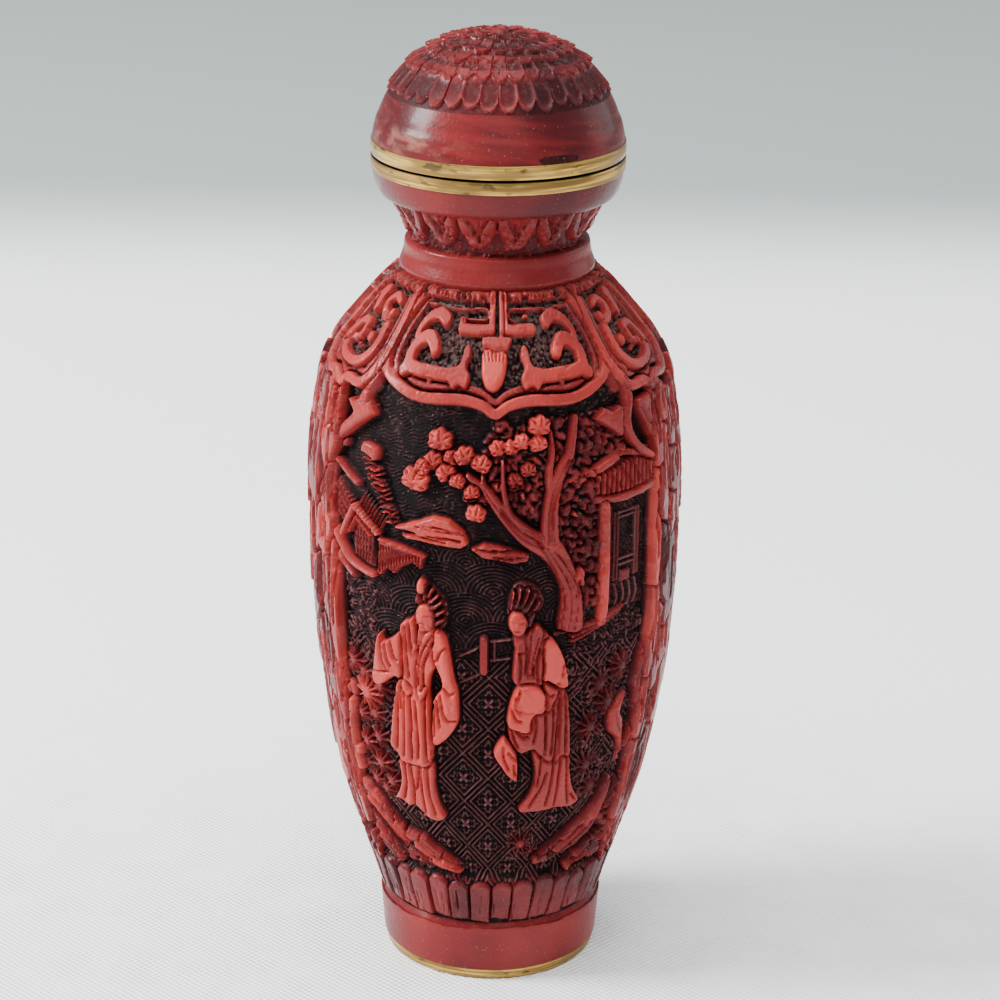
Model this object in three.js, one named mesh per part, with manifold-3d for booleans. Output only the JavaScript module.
// A carved red lacquer snuff bottle with brass rims: a hollow ovoid body carved all round, and a domed stopper.
// Millimetres, +Z up. The origin is the centre of the foot's underside, on the surface that the bottle stands on.
// Angles run round the bottle in degrees: 0 faces the front (-Y) and 90 faces +X.
// The body is a turned ground with its carving standing on it. Each carved form is a small closed solid that
// follows the turned surface, with its root sunk in the ground, and all of them are joined into one solid.
import * as THREE from "three";
import Module from "manifold-3d";
import { mergeVertices } from "three/addons/utils/BufferGeometryUtils.js";

const wasm = await Module();
wasm.setup();
const { degToRad, lerp, radToDeg, smoothstep } = THREE.MathUtils;

// ---- Driving dimensions -------------------------------------------------------------------------------------

const HEIGHT = 80;
const FOOT_RIM_HEIGHT = 1;
const FOOT_RIM_RADIUS = 9.1;
const FOOT_RIM_BORE = 7.5;
const FOOT_RADIUS = 9.5;
const FOOT_TOP = 5.3; // top of the plain foot band
const FLUTES_TOP = 10.1;
const LAPPETS_TOP = 60.2;
const NECK_RADIUS = 7.5;
const NECK_RING_TOP = 62.9;
const COLLAR_BOTTOM = 66.6;
const COLLAR_TOP = 68.85;
const COLLAR_RADIUS = 10.15;
const SEAM = 70; // where the stopper rests on the mouth
const RIM_RADIUS = 10.25;
const STOPPER_RIM_TOP = 71.2;
const PETALS_BOTTOM = 75.1;

const SCENE_DEPTH = 1.3; // carved depth of the two scenes
const SHOULDER_DEPTH = 0.9; // carved depth between the shoulder lappets
const ROOT = 0.8; // how far a carved form's root is sunk in the ground
const WALL = 1.7; // lacquer left behind the ground

const MOUTH_RADIUS = 3.7;
const SPIGOT_RADIUS = 3.4;
const SPIGOT_LENGTH = 4.5;
const FLOOR = 5; // inside floor of the bottle
const UNDERSIDE = 2.2; // the foot is hollowed to this height

const FLUTE_COUNT = 36;
const NECK_LEAF_COUNT = 16;
const PETAL_COUNT = 24;
const GROUND_SIDES = 16; // the ovoid is plain under its carving
const TURNED_SIDES = 32;
const BORE_SIDES = 16;

// Outer profile of the body, height against radius, at the crests of the carving.
const PROFILE = [
  [5.9, 9.55], [10, 10.85], [13, 11.85], [18, 13.3], [24, 14.4], [30, 15.1], [36, 15.48],
  [42, 15.55], [46, 15.45], [50, 14.98], [53, 14.3], [55, 13.2], [57, 11.6], [59, 9.9], [60.5, 8.6],
];

// ---- Turned surfaces ----------------------------------------------------------------------------------------

// Radius of the outer profile at a height, by cubic Hermite spans between its stations.
function outerRadius(z) {
  const last = PROFILE.length - 1;
  if (z <= PROFILE[0][0]) return PROFILE[0][1];
  if (z >= PROFILE[last][0]) return PROFILE[last][1];
  const i = PROFILE.findIndex(([height]) => height > z) - 1;
  const slope = (k) => {
    const [a, b] = [Math.max(k - 1, 0), Math.min(k + 1, last)];
    return (PROFILE[b][1] - PROFILE[a][1]) / (PROFILE[b][0] - PROFILE[a][0]);
  };
  const span = PROFILE[i + 1][0] - PROFILE[i][0];
  const t = (z - PROFILE[i][0]) / span;
  const [t2, t3] = [t * t, t * t * t];
  return (
    (2 * t3 - 3 * t2 + 1) * PROFILE[i][1] +
    (t3 - 2 * t2 + t) * span * slope(i) +
    (3 * t2 - 2 * t3) * PROFILE[i + 1][1] +
    (t3 - t2) * span * slope(i + 1)
  );
}

// Unit normal of the outer profile at a height, as its radial and upward parts.
function profileNormal(z) {
  const step = 0.2;
  const rise = (outerRadius(z + step) - outerRadius(z - step)) / (2 * step);
  const length = Math.hypot(1, rise);
  return [1 / length, -rise / length];
}

function carvedDepth(z) {
  return lerp(SCENE_DEPTH, SHOULDER_DEPTH, smoothstep(z, 51, 54));
}

// The point on the body at an angle and height, standing a given distance above the carved ground.
function onBody(angle, z, height) {
  const [radial, upward] = profileNormal(z);
  const out = height - carvedDepth(z);
  const radius = outerRadius(z) + out * radial;
  const a = degToRad(angle);
  return new THREE.Vector3(radius * Math.sin(a), -radius * Math.cos(a), z + out * upward);
}

// Moves a place on the body, an [angle, height] pair, by true millimetres across and up the surface.
function shifted([angle, z], across, up) {
  return [angle + radToDeg(across / outerRadius(z)), z + up * profileNormal(z)[0]];
}

// Direction from one place to another as a unit vector on the unrolled surface.
function heading([angleA, zA], [angleB, zB]) {
  const across = degToRad(angleB - angleA) * outerRadius(zA);
  return new THREE.Vector2(across, (zB - zA) / profileNormal(zA)[0]).normalize();
}

// ---- Solids -------------------------------------------------------------------------------------------------

// A solid from points and triangles, whichever way round all its faces run.
function solid(points, triangles) {
  const flat = new THREE.BufferGeometry();
  flat.setAttribute("position", new THREE.Float32BufferAttribute(points.flatMap((p) => [p.x, p.y, p.z]), 3));
  flat.setIndex(triangles);
  const merged = mergeVertices(flat, 1e-4);
  const faces = [];
  for (let i = 0; i < merged.index.count; i += 3) {
    const [a, b, c] = [0, 1, 2].map((k) => merged.index.getX(i + k));
    if (a !== b && b !== c && c !== a) faces.push(a, b, c);
  }
  const build = (order) =>
    new wasm.Manifold(
      new wasm.Mesh({
        numProp: 3,
        vertProperties: new Float32Array(merged.attributes.position.array),
        triVerts: new Uint32Array(order),
      }),
    );
  const made = build(faces);
  return made.volume() > 0 ? made : build(faces.reverse());
}

// A closed outline of [radius, height] pairs turned about the bottle's axis.
function turned(outline, sides) {
  const lathe = new THREE.LatheGeometry(outline.map(([radius, z]) => new THREE.Vector2(radius, z)), sides);
  lathe.rotateX(Math.PI / 2);
  const position = lathe.getAttribute("position");
  const points = Array.from({ length: position.count }, (_, i) => new THREE.Vector3().fromBufferAttribute(position, i));
  return solid(points, Array.from(lathe.index.array));
}

// A solid skinned over closed sections with the same number of points, and capped at both ends.
function loft(sections) {
  const size = sections[0].length;
  const triangles = [];
  for (let k = 0; k + 1 < sections.length; k++) {
    for (let i = 0; i < size; i++) {
      const [a, b] = [k * size + i, k * size + ((i + 1) % size)];
      triangles.push(a, b, b + size, a, b + size, a + size);
    }
  }
  const last = (sections.length - 1) * size;
  for (let i = 1; i + 1 < size; i++) triangles.push(0, i + 1, i, last, last + i, last + i + 1);
  return solid(sections.flat(), triangles);
}

// A band of carving turned round the axis: each column is a closed section that column(i) gives as
// [radius, height] pairs.
function carvedBand(columns, column) {
  const points = [];
  const triangles = [];
  for (let i = 0; i < columns; i++) {
    const a = (2 * Math.PI * i) / columns;
    const section = column(i);
    points.push(...section.map(([radius, z]) => new THREE.Vector3(radius * Math.sin(a), -radius * Math.cos(a), z)));
    for (let k = 0; k < section.length; k++) {
      const here = i * section.length;
      const next = ((i + 1) % columns) * section.length;
      const up = (k + 1) % section.length;
      triangles.push(here + k, next + k, next + up, here + k, next + up, here + up);
    }
  }
  return solid(points, triangles);
}

// ---- Carved forms on the body -------------------------------------------------------------------------------

const taper = (from, to) => (t) => lerp(from, to, t);
const swell = (middle) => (t) => middle * Math.sin(Math.PI * t);

// Evenly spaced places on a smooth curve through a few.
function smooth(places, steps) {
  const curve = new THREE.CatmullRomCurve3(places.map(([angle, z]) => new THREE.Vector3(angle, z, 0)));
  return curve.getPoints(steps).map((point) => [point.x, point.y]);
}

// A strap along a chain of places, mitred where it turns. It is flat on top, or comes to a ridge.
function strap(places, width, relief, ridged = false) {
  const last = places.length - 1;
  const sections = places.map((place, i) => {
    const before = heading(places[Math.max(i - 1, 0)], places[Math.max(i, 1)]);
    const after = heading(places[Math.min(i, last - 1)], places[Math.min(i + 1, last)]);
    const along = before.clone().add(after).normalize();
    const half = width(i / last) / 2 / Math.max(along.dot(after), 0.6);
    const spread = half * (1 + ROOT / relief);
    const section = ridged
      ? [[spread, -ROOT], [0, relief], [-spread, -ROOT]]
      : [[half, -ROOT], [half, relief], [-half, relief], [-half, -ROOT]];
    return section.map(([side, height]) => onBody(...shifted(place, along.y * side, -along.x * side), height));
  });
  return loft(sections);
}

const ridge = (places, width, relief) => strap(places, width, relief, true);

// A pointed leaf or a long rock with a crest down its middle. It needs at least three places to swell.
const leaf = (places, width, relief) => ridge(places, swell(width), relief);

// An oval of points round a place, at one height above the ground.
function oval(place, across, up, height, sides) {
  return Array.from({ length: sides }, (_, i) => {
    const t = (2 * Math.PI * i) / sides;
    return onBody(...shifted(place, across * Math.cos(t), up * Math.sin(t)), height);
  });
}

// A rounded boss, such as a head.
function boss(place, across, up, relief, sides = 6) {
  const ring = (scale, height) => oval(place, scale * across, scale * up, height, sides);
  return loft([ring(0.45, relief), ring(0.95, relief * 0.6), ring(1, -ROOT)]);
}

// A small boss with a flat top, such as a blossom or a bead.
function bead(place, across, up, relief) {
  return loft([oval(place, across * 0.55, up * 0.55, relief, 5), oval(place, across, up, -ROOT, 5)]);
}

// Cloth hanging in folds between levels, each [left angle, right angle, height, relief], from one end to the
// other. A roof's rows of tiles are made the same way.
function folded(levels, folds, depth) {
  const sheet = (root) =>
    levels.map(([left, right, z, relief]) =>
      Array.from({ length: 2 * folds + 1 }, (_, i) =>
        onBody(lerp(left, right, i / (2 * folds)), z, root ? -ROOT : relief - (i % 2 ? 0 : depth)),
      ),
    );
  const [top, bottom] = [sheet(false), sheet(true)];
  return loft(levels.map((_, k) => [...top[k], ...bottom[k].reverse()]));
}

// ---- The turned body ----------------------------------------------------------------------------------------

// The plain ovoid ground between the foot and the neck.
function ovoidGround() {
  const outline = [[0, FOOT_TOP - 1], [FOOT_RADIUS - 0.6, FOOT_TOP - 1], [FOOT_RADIUS - 0.6, FOOT_TOP + 0.6]];
  for (const z of [10, 18, 28, 40, 49, 53.4, 59.5]) {
    const crest = onBody(0, z, 0);
    outline.push([-crest.y, crest.z]);
  }
  outline.push([NECK_RADIUS, 60.6], [0, 60.6]);
  return turned(outline, GROUND_SIDES);
}

function foot() {
  return turned(
    [
      [0, UNDERSIDE], [FOOT_RIM_BORE, UNDERSIDE], [FOOT_RIM_BORE, FOOT_RIM_HEIGHT],
      [FOOT_RADIUS - 0.3, FOOT_RIM_HEIGHT], [FOOT_RADIUS, FOOT_TOP], [0, FOOT_TOP + 0.3],
    ],
    TURNED_SIDES,
  );
}

// The ring of upright flutes above the foot.
function flutes() {
  return carvedBand(2 * FLUTE_COUNT, (i) => {
    const out = i % 2 ? 0 : -0.45;
    return [[8, FOOT_TOP + 0.5], [9.45 + out, FOOT_TOP + 0.5], [10.7 + out, 9.3], [9.3, FLUTES_TOP], [8, FLUTES_TOP]];
  });
}

// The neck with its plain ring, the leaves hanging round it and the flared collar above them.
function neck() {
  return carvedBand(2 * NECK_LEAF_COUNT, (i) => {
    const crest = i % 2;
    return [
      [0, 59], [8.3, 59], [8.3, 60.9], [NECK_RADIUS, 62.2], [NECK_RADIUS, NECK_RING_TOP], [7, 63.3],
      [crest ? 7.75 : 7.05, 64.3], [crest ? 8.9 : 8.2, COLLAR_BOTTOM], [9.4, COLLAR_BOTTOM],
      [COLLAR_RADIUS - 0.2, 67.6], [COLLAR_RADIUS, COLLAR_TOP], [0, COLLAR_TOP],
    ];
  });
}

// The space inside: an ovoid chamber and a narrow bore up the neck.
function chamber() {
  const outline = [[0, FLOOR], [6.6, FLOOR]];
  for (const z of [9, 20, 36, 47, 52]) outline.push([outerRadius(z) - carvedDepth(z) - WALL, z]);
  outline.push([6.6, 56], [MOUTH_RADIUS, 59], [MOUTH_RADIUS, COLLAR_TOP + 1], [0, COLLAR_TOP + 1]);
  return turned(outline, BORE_SIDES);
}

// ---- Carving on the shoulder --------------------------------------------------------------------------------

// The ruyi outline of a lappet, from its top left corner down, across its cusp and up again.
function lappetBorder(centre, half, bottom, cusp) {
  const side = (s) => [
    [centre + s * half * 0.9, LAPPETS_TOP],
    [centre + s * half, 57],
    [centre + s * half * 0.93, bottom + 1],
    [centre + s * half * 0.6, bottom],
    [centre + s * half * 0.2, bottom],
  ];
  return ridge([...side(-1), [centre, cusp], ...side(1).reverse()], taper(1.3, 1.3), SHOULDER_DEPTH);
}

// The broad lappet on the front and back: two fret keys over a hanging bud, with a curled scroll on each side.
function broadLappet(centre) {
  const relief = 0.7;
  const mirrored = (s) => {
    const at = (angle, z) => [centre + s * angle, z];
    return [
      ridge([at(2.6, LAPPETS_TOP), at(2.6, 58.1), at(16, 58.2)], taper(0.9, 0.9), relief),
      ridge([at(11, 55.1), at(31, 55.2), at(32, 57.3), at(23, 57)], taper(0.9, 0.7), relief),
      ridge([at(33, 58.9), at(21, 58.9)], taper(0.6, 1.2), relief),
    ];
  };
  return [
    lappetBorder(centre, 41, 53.6, 52.4),
    bead([centre, 57.3], 1.4, 0.8, relief),
    boss([centre, 55.6], 1.1, 1.8, SHOULDER_DEPTH),
    ...mirrored(-1),
    ...mirrored(1),
  ];
}

// A narrow lappet on the side, with one curled scroll.
function narrowLappet(centre, s) {
  const at = (angle, z) => [centre + s * angle, z];
  return [
    lappetBorder(centre, 16.5, 53.4, 52.7),
    ridge([at(-9, 59.1), at(6, 58.9), at(7, 57.1), at(-3, 56.6)], taper(0.9, 0.7), 0.7),
  ];
}

// ---- Carving of the scenes ----------------------------------------------------------------------------------

// The rough rocks that frame both scenes, stacked up each flank of the bottle.
function flankRocks(centre) {
  const [low, high, courses] = [11, 51.6, 7];
  const course = (high - low) / courses;
  const levels = Array.from({ length: courses }, (_, i) => {
    const half = 26 + 2.5 * Math.cos(2.4 * i);
    const level = (z, relief) => [centre - half, centre + half, z, relief];
    return [level(low + i * course, 0.8), level(low + (i + 1) * course - 0.3, SCENE_DEPTH)];
  });
  return [folded(levels.flat(), 2, 0)];
}

// A person in a long robe, leaning towards the head. The sleeves are chains of places from the shoulder out,
// and all places are offsets in degrees and millimetres from the middle of the hem.
function figure(panel, { centre, hem, tall, lean, sleeves, fan }) {
  const at = ([angle, z]) => panel(centre + angle, hem + z);
  const level = (half, height, relief) => {
    const middle = lean * (height / tall) ** 2;
    return [at([middle - half, 0])[0], at([middle + half, 0])[0], hem + height, relief];
  };
  const pieces = [
    folded([level(10.5, 0, 0.85), level(7, 5.4, 0.8)], 3, 0.35),
    folded([level(8.5, 5.2, 1.1), level(6, 0.6 * tall, 1.15), level(5, 0.84 * tall, 1.15)], 2, 0.3),
    ...sleeves.map((places) => strap(places.map(at), taper(1.8, 3), 1.25)),
    boss(at([lean, tall]), 1.15, 1.75, SCENE_DEPTH),
    bead(at([lean + 0.5, tall + 2]), 0.9, 0.9, 1),
  ];
  if (fan) pieces.push(boss(at(fan), 1.35, 1.35, SCENE_DEPTH));
  return pieces;
}

const WALKER = {
  centre: -28, hem: 16.6, tall: 20.3, lean: 6.5, fan: null,
  sleeves: [[[2, 17.6], [-6, 16.6], [-10.5, 13]], [[7, 17.4], [11.5, 13.5], [13.5, 8]]],
};
const FAN_BEARER = {
  centre: 22.5, hem: 17.3, tall: 18.8, lean: -14, fan: [-10.5, 10.9],
  sleeves: [[[-6, 15.6], [1, 12.5], [2, 8]], [[-10, 14.5], [-14, 9.8], [-18, 5]]],
};

// The old tree: a forked trunk and its branches, with a low mass of leaves behind them.
function tree(panel) {
  const [left, right] = [panel(8, 0)[0], panel(33, 0)[0]];
  return [
    folded([[left, right, 47.8, 0.5], [left, right, 51.4, 0.5]], 3, 0.2),
    strap([panel(23.5, 34), panel(22, 38), panel(17.5, 42)], taper(2.8, 1.9), 1.15),
    ridge([panel(19, 40.6), panel(8, 44), panel(-7, 47.3)], taper(1.8, 0.6), 1.15),
    ridge([panel(17.5, 41.4), panel(18.5, 45.5), panel(26.5, 51.2)], taper(1.5, 0.6), 1.1),
  ];
}

// Blossoms on the tree's left-hand branch: how many show depends on the panel.
function blossoms(panel, places) {
  return places.map(([angle, z]) => bead(panel(angle, z), 1.3, 1.25, 1.15));
}

// The open pavilion: a tiled roof on a post, with a door frame behind.
function pavilion(panel) {
  const [left, right] = [panel(32, 0)[0], panel(60, 0)[0]];
  const bar = (from, to, width, relief) => ridge([panel(...from), panel(...to)], taper(width, width), relief);
  return [
    folded([[left, right, 45, 1], [panel(36, 0)[0], right, 48, 1]], 4, 0.35),
    strap([panel(24, 46.7), panel(34, 47.1), panel(46, 48.8)], taper(0.9, 0.9), 1.2),
    bar([35.8, 34.4], [35.8, 45], 1.1, 1.15),
    bar([42.5, 37], [42.5, 45], 0.8, 0.7),
    bar([52, 37], [52, 45], 0.8, 0.7),
  ];
}

// The distant hall on its terrace, the slender pagoda beside it and the drifts of cloud between.
function distance(panel) {
  return [
    ...[0, 1, 2].map((i) => bead(panel(-41.5 + 3 * i, 48 - 2.2 * i), 1.1, 1, 0.9)),
    folded([[panel(-61, 0)[0], panel(-48, 0)[0], 42, 0.9], [panel(-60, 0)[0], panel(-50, 0)[0], 44.8, 0.9]], 3, 0.3),
    ridge([panel(-54, 41), panel(-47, 43.4), panel(-39.5, 41.4)], taper(0.8, 0.8), 1.1),
    ridge([panel(-62, 41.4), panel(-54, 38.4), panel(-40, 38.2)], taper(1.1, 0.9), 1.1),
    leaf([panel(-38, 40.4), panel(-20, 42.8), panel(-6, 41.8)], 2.2, 1),
    leaf([panel(-7, 41.4), panel(3, 41.8), panel(12, 40.6)], 1.6, 0.9),
  ];
}

// The ledges of rock along the bottom of a scene.
function ledges(panel) {
  return [
    leaf([panel(-58, 19), panel(-48, 16), panel(-38, 11.8)], 2.4, 1.25),
    leaf([panel(-38, 14.4), panel(-24, 13), panel(-9, 10.9)], 1.5, 1.15),
    ridge([panel(49, 19), panel(47, 15.2), panel(34, 13), panel(18, 11.6)], taper(1, 1.7), 1.15),
  ];
}

// Plants at the sides of a scene, and the railing of the terrace.
function foreground(panel) {
  return [
    leaf([panel(-56, 25.5), panel(-57, 22), panel(-54, 18.6)], 1.6, 1.15),
    bead(panel(-46, 26.7), 1.5, 1.5, 0.9),
    leaf([panel(50, 27), panel(47, 23.5), panel(51, 19.5)], 1.7, 1),
    ridge([panel(64, 33), panel(57, 29.5), panel(57, 24)], taper(0.9, 0.6), 1.1),
    ridge([panel(-10, 31.6), panel(-3.5, 32.8), panel(8, 33.5)], taper(0.7, 0.7), 0.5),
    ridge([panel(21, 33.6), panel(32, 34), panel(46, 34.9)], taper(0.8, 0.8), 0.6),
  ];
}

// A leafy spray in each upper corner of a scene, where two lappets part.
function corners(panel) {
  return [-1, 1].flatMap((s) => [
    ridge([panel(s * 44, 53.6), panel(s * 48, 50.4), panel(s * 59, 47.8)], taper(1, 0.8), 1.15),
    leaf([panel(s * 35, 51.7), panel(s * 45, 51.8), panel(s * 53, 50.4)], 1.9, 1.1),
  ]);
}

// The front's panel runs as its motifs are given. The back's is mirrored, with one figure and less around it.
function carvedScenes() {
  const front = (angle, z) => [angle, z];
  const back = (angle, z) => [180 - angle, z];
  const spray = [[-17, 50], [-20.5, 48], [-26, 46.5], [-10, 49.2], [-3.5, 48.6], [2.5, 50.4], [-5.5, 45.4]];
  return [
    ...[tree, pavilion, distance, ledges, foreground, corners].flatMap((motif) => motif(front)),
    ...blossoms(front, spray),
    ...[WALKER, FAN_BEARER].flatMap((person) => figure(front, person)),
    ...[tree, pavilion, ledges].flatMap((motif) => motif(back)),
    ...blossoms(back, spray.slice(0, 3)),
    ...figure(back, WALKER),
  ];
}

// ---- The five pieces ----------------------------------------------------------------------------------------

function bottleBody() {
  const sideLappets = [[62, 1], [118, -1], [242, 1], [298, -1]];
  const forms = [
    ovoidGround(), foot(), flutes(), neck(),
    ...[0, 180].flatMap(broadLappet),
    ...sideLappets.flatMap(([centre, s]) => narrowLappet(centre, s)),
    ...[90, 270].flatMap(flankRocks),
    ...carvedScenes(),
  ];
  return wasm.Manifold.union(forms).subtract(chamber());
}

function footRim() {
  return turned(
    [
      [FOOT_RIM_BORE, 0], [FOOT_RIM_RADIUS - 0.2, 0], [FOOT_RIM_RADIUS + 0.1, FOOT_RIM_HEIGHT],
      [FOOT_RIM_BORE, FOOT_RIM_HEIGHT], [FOOT_RIM_BORE, 0],
    ],
    TURNED_SIDES,
  );
}

// The brass plate that closes the collar round the mouth.
function mouthRim() {
  const edge = 0.15;
  return turned(
    [
      [MOUTH_RADIUS, COLLAR_TOP], [RIM_RADIUS, COLLAR_TOP], [RIM_RADIUS, SEAM - edge],
      [RIM_RADIUS - edge, SEAM], [MOUTH_RADIUS, SEAM], [MOUTH_RADIUS, COLLAR_TOP],
    ],
    TURNED_SIDES,
  );
}

// The stopper's brass rim, with the spigot under it that enters the mouth.
function stopperRim() {
  const edge = 0.15;
  return turned(
    [
      [0, SEAM - SPIGOT_LENGTH], [SPIGOT_RADIUS, SEAM - SPIGOT_LENGTH], [SPIGOT_RADIUS, SEAM],
      [RIM_RADIUS - edge, SEAM], [RIM_RADIUS, SEAM + edge], [RIM_RADIUS, STOPPER_RIM_TOP], [0, STOPPER_RIM_TOP],
    ],
    TURNED_SIDES,
  );
}

// The domed stopper: a plain band below, and above it tiers of petals that overlap downwards like tiles.
function stopperDome() {
  const low = STOPPER_RIM_TOP - 0.6;
  const radius = (z) => RIM_RADIUS * Math.sqrt(1 - ((z - low) / (HEIGHT - low)) ** 2.1);
  return carvedBand(2 * PETAL_COUNT, (i) => {
    const section = [[0, STOPPER_RIM_TOP], [radius(STOPPER_RIM_TOP), STOPPER_RIM_TOP], [radius(73.2), 73.2]];
    [PETALS_BOTTOM, 77, 78.6].forEach((bottom, tier) => {
      const z = bottom + ((i + tier) % 2 ? 0 : 0.5);
      section.push([radius(z) - 0.3, z + 0.05], [radius(z) + 0.05, z]);
    });
    return [...section, [2, HEIGHT - 0.3], [0, HEIGHT]];
  });
}

// ---- The model ----------------------------------------------------------------------------------------------

function geometryOf(made) {
  const { vertProperties, triVerts } = made.getMesh();
  const geometry = new THREE.BufferGeometry();
  geometry.setAttribute("position", new THREE.BufferAttribute(vertProperties, 3));
  geometry.setIndex(new THREE.BufferAttribute(triVerts, 1));
  geometry.computeVertexNormals();
  return geometry;
}

const lacquer = () => new THREE.MeshStandardMaterial({ color: 0xa13a35, roughness: 0.45, metalness: 0 });
const brass = () => new THREE.MeshStandardMaterial({ color: 0xb89a55, roughness: 0.35, metalness: 1 });

const bottle = new THREE.Group();
for (const [name, make, material] of [
  ["bottle_body", bottleBody, lacquer],
  ["foot_rim", footRim, brass],
  ["mouth_rim", mouthRim, brass],
  ["stopper_rim", stopperRim, brass],
  ["stopper_dome", stopperDome, lacquer],
]) {
  const mesh = new THREE.Mesh(geometryOf(make()), material());
  mesh.name = name;
  bottle.add(mesh);
}

export default bottle;
